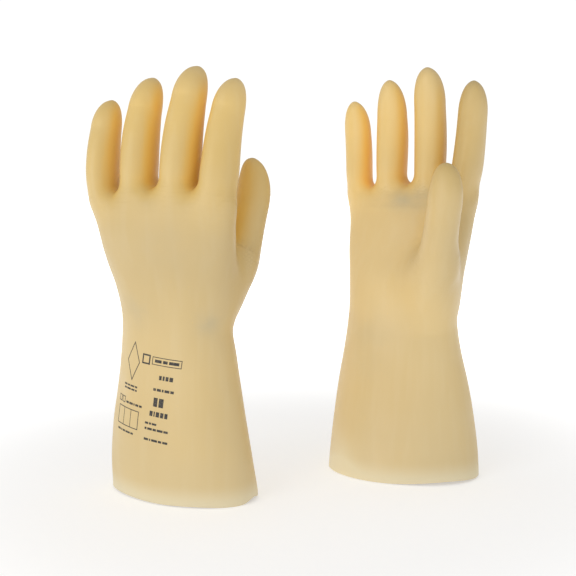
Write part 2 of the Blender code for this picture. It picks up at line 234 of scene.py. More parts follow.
def curled(along, pad, degrees):
    sine, cosine = sin_cos(degrees)
    return along * cosine + pad * sine, pad * cosine - along * sine


def chaikin(points, rounds):
    """Cuts the corners of an open line of points, keeping its ends."""
    for _ in range(rounds):
        middle = np.empty((2 * len(points) - 2, points.shape[1]))
        middle[0::2] = 0.75 * points[:-1] + 0.25 * points[1:]
        middle[1::2] = 0.25 * points[:-1] + 0.75 * points[1:]
        points = np.vstack([points[:1], middle[1:-1], points[-1:]])
    return points


# ---------------------------------------------------------------- the implicit glove

class Stall:
    """A finger or thumb stall: its joints, a rounded centre line and a hooked tip."""

    def __init__(self, name, hand):
        self.name = name
        self.words = WORDS[2 if name == "thumb" else 3]
        pose = POSES[hand]
        if name == "thumb":
            spec, pad = THUMB, THUMB["pad"]
            root = np.array(spec["root"])
            shifts = (0.0, PAD_SHIFT)
            more_curl, longer = pose["thumb_curl"], pose["thumb_longer"]
        else:
            spec = FINGERS[name]
            sine, cosine = sin_cos(FLEX_TWIST)
            pad = (-sine, cosine)
            sine, cosine = sin_cos(KNUCKLE_LINE[2])
            root = np.array([KNUCKLE_LINE[0] + spec["across"] * cosine,
                             KNUCKLE_LINE[1] + spec["across"] * sine, spec["height"]])
            shifts = (PAD_SHIFT,) * 3
            more_curl = [pose["curl"] * share for share in CURL_SHARES]
            longer = pose["longer"]
        lean = spec["lean"] + pose["lean"].get(name, 0.0)
        straight, front, self.lateral = leaning_axes(pad, lean)
        turned = [curled(straight, front, curl + more)
                  for curl, more in zip(spec["curl"], more_curl)]
        self.along, self.pad = zip(*turned)
        self.length = list(spec["length"])
        self.length[-1] += longer
        fuller = pose["fuller"].get(name, 0.0)
        widths = [width + fuller * share for width, share in zip(spec["width"], FULLER_SHARES)]
        depths = spec["depth"]
        shift = [depth * share for depth, share in zip(depths, shifts)]

        self.joints = [root + self.pad[0] * shift[0]]
        for direction, size in zip(self.along, self.length):
            self.joints.append(self.joints[-1] + direction * size)
        # Where this stall's pieces begin: a point and the direction across the cut.
        self.cuts = [(self.joints[0] + self.along[0] * KNUCKLE_START[name], self.along[0])]
        for k in range(len(self.length) - 1):
            reach = self.length[k] * CUT_SHARE
            self.cuts.append((self.joints[k] + self.along[k] * reach, self.along[k]))

        centres = [root]
        for k in range(1, len(self.length)):
            centres.append(self.joints[k] - (self.pad[k - 1] + self.pad[k]) * 0.5 * shift[k])
        radii = list(zip(widths, depths))
        end = self.joints[-2] - self.pad[-1] * shift[-1] + self.along[-1] * self.length[-1]
        if name == "thumb":
            before = [np.array(row[:3]) for row in THUMB_MOUND]
            sizes = [row[3:] for row in THUMB_MOUND]
        else:
            # The root runs down into the palm, bends to its middle and fades out inside it.
            before = [root - self.along[0] * down + self.pad[0] * out
                      - self.lateral * (inwards * spec["across"])
                      for down, out, inwards, _, _ in FINGER_ROOT]
            sizes = [(widths[0] * wide, depths[0] * deep) for *_, wide, deep in FINGER_ROOT]
        # The centre line stops short of its last bend; the tip's cap runs on from there.
        back = centres[-2] - centres[-1]
        share = TIP_REACH * self.length[-1] / np.linalg.norm(back)
        centres[-1] = centres[-1] + back * share
        radii[-1] = tuple(last + (previous - last) * share
                          for previous, last in zip(radii[-2], radii[-1]))
        line = chaikin(np.hstack([np.array(before + centres), np.array(sizes + radii)]), 3)
        self.line, self.widths, self.depths = line[:, :3], line[:, 3], line[:, 4]
        self.steps = np.diff(self.line, axis=0)
        self.sizes = np.linalg.norm(self.steps, axis=1)

        axis = self.steps[-1] / self.sizes[-1]
        tip_pad = unit(np.cross(axis, self.lateral))
        rest = end - self.line[-1]
        self.cap = rest @ axis
        self.hook = rest @ tip_pad + TIP_HOOK.get(name, TIP_HOOK["other"]) * depths[-1]
        self.tip = self.line[-1] + axis * self.cap + tip_pad * self.hook
        self.mean = unit(self.line[-1] - self.line[0])
        self.marks = (self.line - self.line[0]) @ self.mean
        self.low = np.minimum(self.line.min(0), self.tip) - STALL_MARGIN
        self.high = np.maximum(self.line.max(0), self.tip) + STALL_MARGIN

    def nearest(self, points):
        """The nearest segment of the centre line to each point, and the share along it."""
        first = np.searchsorted(self.marks, (points - self.line[0]) @ self.mean) - 1
        best = np.full(len(points), 1e9)
        segment = np.zeros(len(points), int)
        share = np.zeros(len(points))
        for offset in SEGMENT_OFFSETS:
            k = np.clip(first + offset, 0, len(self.steps) - 1)
            step = self.steps[k]
            away = points - self.line[k]
            along = np.clip(dots(away, step) / self.sizes[k] ** 2, 0.0, 1.0)
            gap = ((away - along[:, None] * step) ** 2).sum(1)
            hit = gap < best
            best[hit], segment[hit], share[hit] = gap[hit], k[hit], along[hit]
        return segment, share

    def distance(self, points):
        """Signed distance of points to the stall's surface; a rough value for far points."""
        result = np.full(len(points), FAR)
        near = np.all((points > self.low) & (points < self.high), axis=1)
        points = points[near]
        if not len(points):
            return result
        segment, share = self.nearest(points)
        step = self.steps[segment]
        away = points - self.line[segment] - share[:, None] * step
        tangent = step / self.sizes[segment][:, None]
        width, depth = (size[segment] + (size[segment + 1] - size[segment]) * share
                        for size in (self.widths, self.depths))
        x = away @ self.lateral
        y = dots(away, unit(np.cross(tangent, self.lateral)))
        z = dots(away, tangent)
        # The tube closes on a blunt point past the centre line's end, on a dome before its start.
        ahead = (segment == len(self.steps) - 1) & (share >= 1.0)
        z = np.where(ahead, np.maximum(z, 0.0), np.minimum(z, 0.0))
        run = np.minimum(z / self.cap, MAX_HOOK_RUN)
        y = y - np.where(ahead, self.hook * run**2, 0.0)
        cap = np.where(ahead, self.cap, START_DOME)
        power = np.where(ahead, TIP_POWER.get(self.name, TIP_POWER["other"]), 2.0)
        ring = (x / width) ** 2 + (y / depth) ** 2 + 1e-9
        rise = np.abs(z / cap) + 1e-9
        total = ring ** (power / 2) + rise**power
        level = total ** (1 / power)
        # The size of the level's gradient turns it into a distance.
        scale = total ** (1 / power - 1)
        slope_x = scale * ring ** (power / 2 - 1) * x / width**2
        slope_y = scale * ring ** (power / 2 - 1) * y / depth**2
        slope_z = scale * rise ** (power - 1) / cap * (np.abs(z) > 1e-6)
        slope_z -= np.where(ahead, slope_y * 2 * self.hook * run / self.cap, 0.0)
        result[near] = (level - 1.0) / np.sqrt(slope_x**2 + slope_y**2 + slope_z**2 + 1e-12)
        result[near] -= NIB["height"] * blob(points, self.tip, NIB["spread"])
        return result


class Glove:
    """The skin of one glove as an implicit surface."""

    def __init__(self, hand):
        self.hand = hand
        self.stalls = [Stall(name, hand) for name in STALLS]
        self.heights = np.arange(0.0, BODY_TOP + ROW_STEP, ROW_STEP)
        self.rows = catmull(BODY, self.heights)
        rng = np.random.default_rng(SEEDS[hand])
        directions = unit(rng.normal(size=(WAVES, 3)))
        self.wave_vectors = directions * (2 * math.pi / rng.uniform(*WAVE_LENGTH, WAVES))[:, None]
        self.wave_phases = rng.uniform(0, 2 * math.pi, WAVES)
        self.wave_sizes = rng.uniform(*WAVE_HEIGHT, WAVES)

    def row(self, height):
        """Centre R and P, half width, half depth, twist and squareness at a height."""
        return [np.interp(height, self.heights, self.rows[:, k]) for k in range(1, 7)]

    def body(self, points):
        """Signed distance to the gauntlet and palm."""
        height = np.maximum(points[:, 2], RIM_FLAT)
        centre_r, centre_p, width, depth, twist, power = self.row(np.minimum(height, BODY_TOP))
        shift = CUFF_SHIFT[self.hand]
        centre_r = centre_r + shift * (1.0 - smoothstep(height, *CUFF_SHIFT_FADE))
        angle = np.radians(twist)
        off_r, off_p = points[:, 0] - centre_r, points[:, 1] - centre_p
        x = off_r * np.cos(angle) + off_p * np.sin(angle)
        y = -off_r * np.sin(angle) + off_p * np.cos(angle)
        share_x, share_y = np.abs(x / width) + 1e-6, np.abs(y / depth) + 1e-6
        total = share_x**power + share_y**power
        scale = total ** (1 / power - 1)
        slope_x = scale * share_x ** (power - 1) / width
        slope_y = scale * share_y ** (power - 1) / depth
        side = (total ** (1 / power) - 1.0) / np.sqrt(slope_x**2 + slope_y**2 + 1e-12)
        crown = PALM_TOP["height"] - PALM_TOP["fall"] * (x - PALM_TOP["crown_at"]) ** 2
        return smooth_max(side, points[:, 2] - crown, PALM_TOP["rounding"])

    def undulation(self, points):
        result = np.zeros(len(points))
        for vector, phase, size in zip(self.wave_vectors, self.wave_phases, self.wave_sizes):
            result += size * np.sin(points @ vector + phase)
        for depth, centre, size in DENTS[self.hand]:
            result -= depth * blob(points, centre, size)
        return result

    def distance(self, points):
        *fingers, thumb = [stall.distance(points) for stall in self.stalls]
        joined = fingers[0]
        for finger in fingers[1:]:
            joined = smooth_min(joined, finger, FINGER_BLEND)
        skin = smooth_min(self.body(points), joined, PALM_BLEND)
        skin = smooth_min(skin, thumb, THUMB_BLEND)
        height = np.maximum(points[:, 2], RIM_FLAT)
        return skin - self.undulation(np.column_stack([points[:, 0], points[:, 1], height]))

    def probe(self, points, reach=0.35):
        """Value and gradient of the distance, from four corners of a small tetrahedron."""
        value, gradient = np.zeros(len(points)), np.zeros_like(points)
        for corner in ((1, -1, -1), (-1, -1, 1), (-1, 1, -1), (1, 1, 1)):
            corner = np.array(corner, float)
            sample = self.distance(points + corner * reach)
            value += sample / 4
            gradient += corner * sample[:, None] / (4 * reach)
        return value, gradient

    def gradient(self, points):
        return self.probe(points)[1]

    def rim(self, points):
        """Height of the cut rim's line above the table, by direction round the cuff."""
        _, centre_r, centre_p, width, depth = BODY[0][:5]
        angle = np.arctan2((points[:, 1] - centre_p) / depth, (points[:, 0] - centre_r) / width)
        line = np.zeros(len(points))
        for height, count, phase in RIM_WAVES[self.hand]:
            line += height * (1 - np.cos(count * angle + phase))
        for height, middle, spread in RIM_NICKS[self.hand]:
            line += height * np.exp(-(((angle - middle) / spread) ** 2))
        return line

    def lift(self, points):
        """Moves the skin near the rim so that its edge follows the rim line."""
        lifted = points.copy()
        fade = np.clip(1.0 - points[:, 2] / RIM_FADE, 0.0, 1.0) ** 3
        lifted[:, 2] += self.rim(points) * fade
        return lifted


# ---------------------------------------------------------------- meshing the skin

GRID_LOW = (-80.0, -74.0)              # R and P; the grid's U starts half a step below the rim
GRID_HIGH = (86.0, 66.0, 368.0)
BLOCK = 5                              # grid points per side of a coarse block
CHUNK = 200000                         # points sampled at once


def sample_grid(glove):
    """The grid's low corner and the glove's distance at its points."""
    low, high = np.array([*GRID_LOW, -STEP / 2]), np.array(GRID_HIGH)
    counts = np.ceil((high - low) / STEP).astype(int) + 1
    xs, ys, zs = (low[k] + STEP * np.arange(counts[k]) for k in range(3))
    # A coarse pass finds the blocks near the skin; the others keep their coarse value.
    middles = [ticks[BLOCK // 2::BLOCK] for ticks in (xs, ys, zs)]
    grid = np.stack(np.meshgrid(*middles, indexing="ij"), -1)
    coarse = glove.distance(grid.reshape(-1, 3)).reshape(grid.shape[:3])
    reach = BLOCK * STEP * 1.25 + 3.0
    where = [np.minimum(np.arange(count) // BLOCK, coarse.shape[k] - 1)
             for k, count in enumerate(counts)]
    values = coarse[np.ix_(*where)].astype(np.float32)
    near = np.argwhere(np.abs(values) < reach)
    for part in np.array_split(near, max(1, len(near) // CHUNK)):
        i, j, k = part.T
        values[i, j, k] = glove.distance(np.column_stack([xs[i], ys[j], zs[k]]))
    return low, values


def surface_nets(glove):
    """Quads on the zero level of the distance. The lowest ring of points lies at height 0."""
    low_corner, values = sample_grid(glove)
    inside = values < 0
    cells = np.array(values.shape) - 1
    total = np.zeros((*cells, 3), np.float32)
    number = np.zeros(cells, np.int32)
    crossings = []
    for axis in range(3):
        low, high = [slice(None)] * 3, [slice(None)] * 3
        low[axis], high[axis] = slice(0, -1), slice(1, None)
        low, high = tuple(low), tuple(high)
        cross = inside[low] != inside[high]
        crossings.append((cross, inside[low]))
        start, end = values[low][cross], values[high][cross]
        corner = np.argwhere(cross)
        point = corner.astype(np.float32)
        point[:, axis] += start / (start - end)
        first, second = [other for other in range(3) if other != axis]
        for i in (0, -1):
            for j in (0, -1):
                cell = corner.copy()
                cell[:, first] += i
                cell[:, second] += j
                valid = np.all((cell >= 0) & (cell < cells), axis=1)
                where = tuple(cell[valid].T)
                np.add.at(total, where, point[valid])
                np.add.at(number, where, 1)
    used = number > 0
    index = np.full(cells, -1, np.int64)
    index[used] = np.arange(used.sum())
    points = total[used] / number[used][:, None] * STEP + low_corner
    quads = []
    for (cross, first_inside), (first, second) in zip(crossings, ((1, 2), (2, 0), (0, 1))):
        corner = np.argwhere(cross)
        across = corner[:, [first, second]]
        corner = corner[np.all((across >= 1) & (across < cells[[first, second]]), axis=1)]
        forward = first_inside[tuple(corner.T)]
        around = []
        for i, j in ((-1, -1), (0, -1), (0, 0), (-1, 0)):
            cell = corner.copy()
            cell[:, first] += i
            cell[:, second] += j
            around.append(index[tuple(cell.T)])
        quad = np.column_stack(around)
        quad[~forward] = quad[~forward][:, ::-1]
        quads.append(quad)
    quads = np.vstack(quads)
    keep = np.unique(quads)
    renumber = np.full(len(points), -1, np.int64)
    renumber[keep] = np.arange(len(keep))
    return points[keep].astype(float), renumber[quads]


def neighbours_mean(points, quads):
    """Mean of each point's neighbours along the edges."""
    starts = quads.ravel()
    ends = np.roll(quads, -1, axis=1).ravel()
    total = np.zeros_like(points)
    number = np.zeros(len(points))
    for here, there in ((starts, ends), (ends, starts)):
        for k in range(3):
            total[:, k] += np.bincount(here, points[there, k], len(points))
        number += np.bincount(here, minlength=len(points))
    return total / number[:, None]


def project(glove, points, rim):
    """Moves points towards the surface, at most 1.2 mm, keeping the rim level."""
    value, gradient = glove.probe(points)
    gradient[rim, 2] = 0.0
    move = gradient * (value / np.maximum((gradient**2).sum(1), 0.05))[:, None]
    size = np.linalg.norm(move, axis=1)
    move *= np.minimum(1.0, 1.2 / np.maximum(size, 1e-9))[:, None]
    return points - move, gradient


def skin_mesh(glove):
    """Even points exactly on the surface."""
    points, quads = surface_nets(glove)
    rim = points[:, 2] < STEP * 0.25
    points[rim, 2] = 0.0
    for _ in range(2):
        points, gradient = project(glove, points, rim)
    for _ in range(3):
        normals = unit(gradient)
        pull = neighbours_mean(points, quads) - points
        pull -= normals * dots(pull, normals)[:, None]
        pull[rim] = 0.0
        points, gradient = project(glove, points + 0.6 * pull, rim)
    return project(glove, points, rim)[0], quads


# ---------------------------------------------------------------- dividing the skin

def face_centres(bm):
    return np.array([face.calc_center_median() for face in bm.faces])


def stall_distances(glove, points):
    return np.column_stack([stall.distance(points) for stall in glove.stalls])


def cut(bm, glove, origin, normal, owner=None):
    """Cuts the faces near one plane; with an owner, only those nearest to that stall."""
    faces = list(bm.faces)
    centres = face_centres(bm)
    hits = np.nonzero(np.abs((centres - origin) @ normal) < 2.2 * STEP)[0]
    if owner is not None:
        hits = hits[stall_distances(glove, centres[hits]).argmin(1) == owner]
    if not len(hits):
        return
    parts = {faces[i] for i in hits}
    for i in hits:
        parts.update(faces[i].edges)
        parts.update(faces[i].verts)
    bmesh.ops.bisect_plane(bm, geom=list(parts), dist=0.02,
                           plane_co=Vector(origin), plane_no=Vector(normal))


def divide(glove, points, quads):
    """Cuts the skin along the piece planes. Returns points, polygons and their piece names."""
    bm = bmesh.new()
    verts = [bm.verts.new(point) for point in points]
    for quad in quads:
        bm.faces.new([verts[i] for i in quad])
    bm.verts.index_update()
    cut(bm, glove, np.array([0.0, 0.0, WRIST_CUT]), np.array([0.0, 0.0, 1.0]))
    for number, stall in enumerate(glove.stalls):
        for origin, normal in stall.cuts:
            cut(bm, glove, origin, normal, owner=number)
    bm.verts.index_update()
    points = np.array([vert.co for vert in bm.verts])
    polygons = [[vert.index for vert in face.verts] for face in bm.faces]
    centres = face_centres(bm)
    bm.free()

    distances = stall_distances(glove, centres)
    nearest = distances.argmin(1)
    names = np.where(centres[:, 2] < WRIST_CUT, "cuff", "hand").astype(object)
    for number, stall in enumerate(glove.stalls):
        own = (nearest == number) & (centres[:, 2] > STALL_FLOOR)
        if stall.name == "thumb":
            # The palm behind the thumb stays with the hand.
            own &= distances[:, number] < glove.body(centres)
        for word, (origin, normal) in zip(stall.words, stall.cuts):
            names[own & ((centres - origin) @ normal > 0)] = f"{stall.name}_{word}"
    return points, polygons, names


# ---------------------------------------------------------------- placing in the frame

class Placement:
    """Turns glove-frame millimetres into metres in the frame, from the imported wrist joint."""

    def __init__(self, hand):
        joint = next(joint for joint in frame["record"]["behaviour"]["joints"]
                     if joint["name"] == f"{hand}_wrist")
        row = catmull(BODY, np.array([WRIST_U]))[0]
        pivot = np.array([row[1], row[2], row[0]]) * MM
        sine, cosine = sin_cos(row[5])
        mirror = np.diag([1.0, 1.0 if hand == "left" else -1.0, 1.0])
        rest = np.cross(mirror @ np.array([0.0, 0.0, 1.0]), mirror @ np.array([-sine, cosine, 0.0]))
        axis = joint["axis"]
        yaw = math.atan2(axis[1], axis[0]) - math.atan2(rest[1], rest[0])
        sine, cosine = math.sin(yaw), math.cos(yaw)
        turn = np.array([[cosine, -sine, 0.0], [sine, cosine, 0.0], [0.0, 0.0, 1.0]])
        self.matrix = turn @ mirror
        self.offset = np.array(joint["pos_m"]) - self.matrix @ pivot

    def points(self, points):
        return (points * MM) @ self.matrix.T + self.offset

    def directions(self, directions):
        return directions @ self.matrix.T


def mesh_of(name, points, polygons, corner_normals, attributes):
    """A Blender mesh with its own corner normals and named point attributes."""
    mesh = bpy.data.meshes.new(name)
    sizes = np.array([len(polygon) for polygon in polygons])
    starts = np.concatenate([[0], np.cumsum(sizes)[:-1]])
    loops = np.concatenate(polygons)
    mesh.vertices.add(len(points))
    mesh.vertices.foreach_set("co", np.asarray(points, np.float32).ravel())
    mesh.loops.add(len(loops))
    mesh.loops.foreach_set("vertex_index", loops.astype(np.int32))
    mesh.polygons.add(len(sizes))
    mesh.polygons.foreach_set("loop_start", starts.astype(np.int32))
    mesh.update(calc_edges=True)
    for key, values in attributes.items():
        layer = mesh.attributes.new(key, "FLOAT", "POINT")
        layer.data.foreach_set("value", np.asarray(values, np.float32))
    mesh.polygons.foreach_set("use_smooth", np.ones(len(sizes), bool))
    mesh.normals_split_custom_set(corner_normals.astype(np.float32))
    mesh.validate(clean_customdata=False)
    return mesh


def add_object(name, data):
    obj = bpy.data.objects.new(name, data)
    bpy.context.scene.collection.objects.link(obj)
    return obj


def shell_piece(name, outer, inner, normals, polygons, attributes, place, flip):
    """A closed wall: the outer polygons, the same ones inside, and strips round open edges."""
    used = np.unique(np.concatenate(polygons))
    renumber = np.full(len(outer), -1, np.int64)
    renumber[used] = np.arange(len(used))
    inside = len(used)                 # number of the first inner point
    outer_faces = [list(renumber[polygon]) for polygon in polygons]
    edges = {}
    for face in outer_faces:
        for start, end in zip(face, face[1:] + face[:1]):
            edges[(start, end)] = True
    inner_faces = [[i + inside for i in reversed(face)] for face in outer_faces]
    strips = [[end, start, start + inside, end + inside]
              for start, end in edges if (end, start) not in edges]
    faces = outer_faces + inner_faces + strips
    if flip:
        faces = [face[::-1] for face in faces]
    points = place.points(np.vstack([outer[used], inner[used]]))
    outward = place.directions(normals[used])
    skins = 2 * len(outer_faces)
    corner_normals = [np.vstack([outward, -outward])[np.concatenate(faces[:skins])]]
    for face in faces[skins:]:
        corners = points[face]
        normal = np.cross(corners[2] - corners[0], corners[3] - corners[1])
        normal /= max(np.linalg.norm(normal), 1e-12)
        corner_normals.append(np.tile(normal, (4, 1)))
    doubled = {key: np.concatenate([values[used]] * 2) for key, values in attributes.items()}
    return add_object(name, mesh_of(name, points, faces, np.vstack(corner_normals), doubled))


# ---------------------------------------------------------------- materials

class Nodes:
    """Short ways to add nodes to a tree. An input is a plain value or another node's output."""

    def __init__(self, tree):
        self.tree = tree

    def feed(self, target, inputs):
        for key, value in inputs.items():
            if isinstance(value, bpy.types.NodeSocket):
                self.tree.links.new(value, target.inputs[key])
            else:
                target.inputs[key].default_value = value

    def node(self, kind, inputs=None, **settings):
        made = self.tree.nodes.new(kind)
        for key, value in settings.items():
            setattr(made, key, value)
        self.feed(made, inputs or {})
        return made


class Surface(Nodes):
    """A new material, with nodes that feed its Principled shader."""

    def __init__(self, name):
        self.material = bpy.data.materials.new(name)
        self.material.use_nodes = True
        super().__init__(self.material.node_tree)
        self.where = self.node("ShaderNodeTexCoord").outputs["Object"]

    def shade(self, inputs):
        self.feed(self.tree.nodes["Principled BSDF"], inputs)

    def attribute(self, key):
        return self.node("ShaderNodeAttribute", attribute_name=key,
                         attribute_type="GEOMETRY").outputs["Fac"]

    def mix(self, share, first, second, blend="MIX"):
        # 0, 6 and 7 are the factor and the two colours.
        return self.node("ShaderNodeMix", {0: share, 6: first, 7: second},
                         data_type="RGBA", blend_type=blend).outputs[2]

    def maths(self, operation, first, second, clamp=False):
        return self.node("ShaderNodeMath", {0: first, 1: second},
                         operation=operation, use_clamp=clamp).outputs[0]

    def noise(self, scale, detail, stretch=None):
        source = self.where
        if stretch:
            source = self.node("ShaderNodeMapping",
                               {"Scale": stretch, "Vector": source}).outputs["Vector"]
        return self.node("ShaderNodeTexNoise", {"Scale": scale, "Detail": detail,
                                                "Vector": source}).outputs["Fac"]

    def spread(self, value, low, high, to_low=0.0, to_high=1.0):
        return self.node("ShaderNodeMapRange",
                         {"Value": value, "From Min": low, "From Max": high,
                          "To Min": to_low, "To Max": to_high},
                         interpolation_type="SMOOTHSTEP").outputs["Result"]


# Cream latex; amber: painted crevice shade, finger tint, specks; pale: drip runs, painted rim glow;
# grey: painted shade.
CREAM = (0.70, 0.52, 0.24, 1.0)
AMBER = (0.96, 0.625, 0.14, 1.0)
PALE_RUNS_AND_GLOW = (0.80, 0.69, 0.45, 1.0)
SHADE_GREY = (0.54, 0.45, 0.27, 1.0)


def latex_colour(skin):
    """Cream where open, amber as painted shade where it faces itself, streaks, painted rim glow,
    grey painted shade, painted light.
    """
    cloud = skin.noise(scale=16.0, detail=2.0)
    runs = skin.noise(scale=26.0, detail=2.0, stretch=(1.0, 1.0, 0.12))
    drift = skin.maths("MULTIPLY", skin.maths("SUBTRACT", cloud, 0.5), 0.22)
    # Painted shade: amber where the skin faces itself, with the amber tint up the fingers, varied
    # by noise.
    depth = skin.maths("ADD", skin.attribute("skin_amber"), drift, clamp=True)
    colour = skin.mix(depth, CREAM, AMBER)
    colour = skin.mix(skin.spread(runs, low=0.35, high=0.75, to_high=0.10), colour, PALE_RUNS_AND_GLOW)
    streaks = skin.noise(scale=120.0, detail=2.0, stretch=(1.0, 1.0, 0.07))
    colour = skin.mix(skin.spread(streaks, low=0.40, high=0.76, to_high=0.09), colour, PALE_RUNS_AND_GLOW)
    # Painted glow towards the rim.
    colour = skin.mix(skin.attribute("skin_pale"), colour, PALE_RUNS_AND_GLOW)
    # Painted shade: grey patches in hollows and folds, broken up by noise.
    patches = skin.spread(skin.noise(scale=40.0, detail=3.0), low=0.3, high=0.7, to_low=0.35)
    grey_shade_share = skin.maths("MULTIPLY", skin.attribute("skin_grey"), patches)
    colour = skin.mix(grey_shade_share, colour, SHADE_GREY)
    specks = skin.spread(skin.noise(scale=420.0, detail=1.0), low=0.70, high=0.80, to_high=0.10)
    colour = skin.mix(specks, colour, AMBER)
    # Painted light and shade: the colour is multiplied by each glove's brightness map.
    painted_light = skin.node("ShaderNodeCombineColor", {k: skin.attribute("skin_tone") for k in range(3)})
    return skin.mix(1.0, colour, painted_light.outputs["Color"], blend="MULTIPLY")


def latex_bump(skin):
    """Fine grain, shallow ripples and long upright waves."""
    grain = skin.maths("MULTIPLY", skin.noise(scale=650.0, detail=2.0), 0.35)
    height = skin.maths("ADD", grain, skin.noise(scale=150.0, detail=2.0))
    waves = skin.noise(scale=60.0, detail=2.0, stretch=(1.0, 1.0, 0.2))
    height = skin.maths("ADD", height, skin.maths("MULTIPLY", waves, 1.6))
    return skin.node("ShaderNodeBump", {"Distance": 0.00012, "Strength": 0.5,
                                        "Height": height}).outputs["Normal"]


def latex_material():
    skin = Surface("natural_latex")
    skin.shade({
        "Base Color": latex_colour(skin),
        "Roughness": skin.spread(skin.noise(scale=55.0, detail=3.0),
                                 low=0.3, high=0.7, to_low=0.40, to_high=0.50),
        "IOR": 1.5,
        "Specular IOR Level": 0.5,
        "Normal": latex_bump(skin),
    })
    return skin.material


def ink_material():
    ink = Surface("marking_ink")
    ramp = ink.node("ShaderNodeValToRGB", {"Fac": ink.noise(scale=900.0, detail=2.0)})
    dark, worn = ramp.color_ramp.elements
    dark.color = (0.030, 0.028, 0.026, 1.0)
    worn.color = (0.16, 0.13, 0.09, 1.0)
    dark.position = 0.45
    worn.position = 0.80
    ink.shade({"Base Color": ramp.outputs["Color"], "Roughness": 0.6})
    return ink.material


# ---------------------------------------------------------------- ink on the left gauntlet

PRINT_CELL = 1.6                       # largest mesh cell of the print
PRINT_TILT = -5.0                      # degrees, about a point of the back's middle line
PRINT_PIVOT_U = 90.0
PRINT_PROUD = 0.05
PRINT_BEDDED = 0.25


def print_shapes():
    """The generic print, laid flat, in millimetres: x along the skin from the middle of the back
    to the thumb side, y up from the rim. Each shape is the four corners of one filled patch.
    """
    shapes = []

    def stroke(start, end, width):
        run, rise = end[0] - start[0], end[1] - start[1]
        size = math.hypot(run, rise)
        x, y = -rise / size * width / 2, run / size * width / 2
        shapes.append([(start[0] + x, start[1] + y), (start[0] - x, start[1] - y),
                       (end[0] - x, end[1] - y), (end[0] + x, end[1] + y)])

    def outline(points, width):
        for start, end in zip(points, points[1:] + points[:1]):
            run, rise = end[0] - start[0], end[1] - start[1]
            size = math.hypot(run, rise)
            x, y = run / size * width * 0.42, rise / size * width * 0.42
            stroke((start[0] - x, start[1] - y), (end[0] + x, end[1] + y), width)

    def box(x0, y0, x1, y1, width):
        outline([(x0, y0), (x1, y0), (x1, y1), (x0, y1)], width)

    def dashes(x, y, widths, height, gap):
        for width in widths:
            right, top = x + width, y + height
            shapes.append([(x, y), (right, y), (right, top), (x, top)])
            x += width + gap

    # A tall plain lozenge, with two lines of dashes under it.
    outline([(-25.5, 99.5), (-18.0, 115.5), (-25.5, 131.5), (-33.0, 115.5)], width=0.75)
    dashes(-35.5, 93.6, (4.2, 3.0, 5.0, 2.6), height=1.5, gap=0.9)
    dashes(-35.0, 90.6, (3.0, 5.2, 4.0, 2.0), height=1.5, gap=0.9)
    # A plain square beside a long plain frame with three bars in it.
    box(-14.5, 116.6, -7.5, 123.6, width=1.3)
    box(-4.6, 117.1, 21.8, 123.2, width=0.6)
    dashes(-2.2, 118.9, (6.4, 4.2, 8.8), height=2.5, gap=1.3)
    # Rows of plain bars and dashes.
    dashes(3.6, 105.2, (2.4, 1.8, 2.6, 3.2), height=3.6, gap=0.9)
    dashes(-0.8, 95.6, (2.6, 3.8, 1.6, 4.4, 3.0), height=2.2, gap=0.9)
    dashes(0.6, 82.6, (3.8, 4.4), height=7.4, gap=1.3)
    dashes(-2.0, 74.4, (3.0, 1.2, 3.2, 3.0, 2.8), height=4.2, gap=1.0)
    dashes(-5.6, 67.2, (3.4, 2.0, 4.4), height=1.7, gap=0.8)
    dashes(-5.4, 62.6, (2.0, 4.6, 3.2, 5.6, 4.0), height=1.9, gap=0.8)
    dashes(-5.4, 53.6, (4.4, 1.4, 5.8, 3.2, 4.6), height=1.9, gap=0.9)
    # A small pair of open squares, a line of dashes and an empty table of three cells.
    box(-42.6, 78.4, -38.6, 83.2, width=0.7)
    box(-36.8, 78.4, -32.8, 83.2, width=0.7)
    dashes(-30.6, 78.6, (3.6, 4.6, 1.4, 3.6, 3.0), height=1.8, gap=0.9)
    box(-41.2, 59.8, -13.6, 74.6, width=0.7)
    for x in (-32.0, -22.8):
        stroke((x, 59.8), (x, 74.6), width=0.6)
    dashes(-40.0, 54.2, (4.6, 1.6, 3.4, 5.8, 3.0), height=1.6, gap=0.9)
    return shapes


def print_grid():
    """Flat points of all shapes, and for each shape its cells and the ring of its border."""
    flat, patches = [], []
    for shape in print_shapes():
        columns, rows = (max(1, math.ceil(math.dist(shape[0], shape[k]) / PRINT_CELL))
                         for k in (1, 3))
        base = len(flat)
        for j in range(rows + 1):
            for i in range(columns + 1):
                x, y = i / columns, j / rows
                shares = ((1 - x) * (1 - y), x * (1 - y), x * y, (1 - x) * y)
                flat.append([sum(share * corner[k] for share, corner in zip(shares, shape))
                             for k in (0, 1)])

        def at(i, j):
            return base + j * (columns + 1) + i

        cells = [(at(i, j), at(i + 1, j), at(i + 1, j + 1), at(i, j + 1))
                 for j in range(rows) for i in range(columns)]
        ring = [at(i, 0) for i in range(columns)] + [at(columns, j) for j in range(rows)]
        ring += [at(i, rows) for i in range(columns, 0, -1)]
        ring += [at(0, j) for j in range(rows, 0, -1)]
        patches.append((cells, ring))
    return np.array(flat), patches


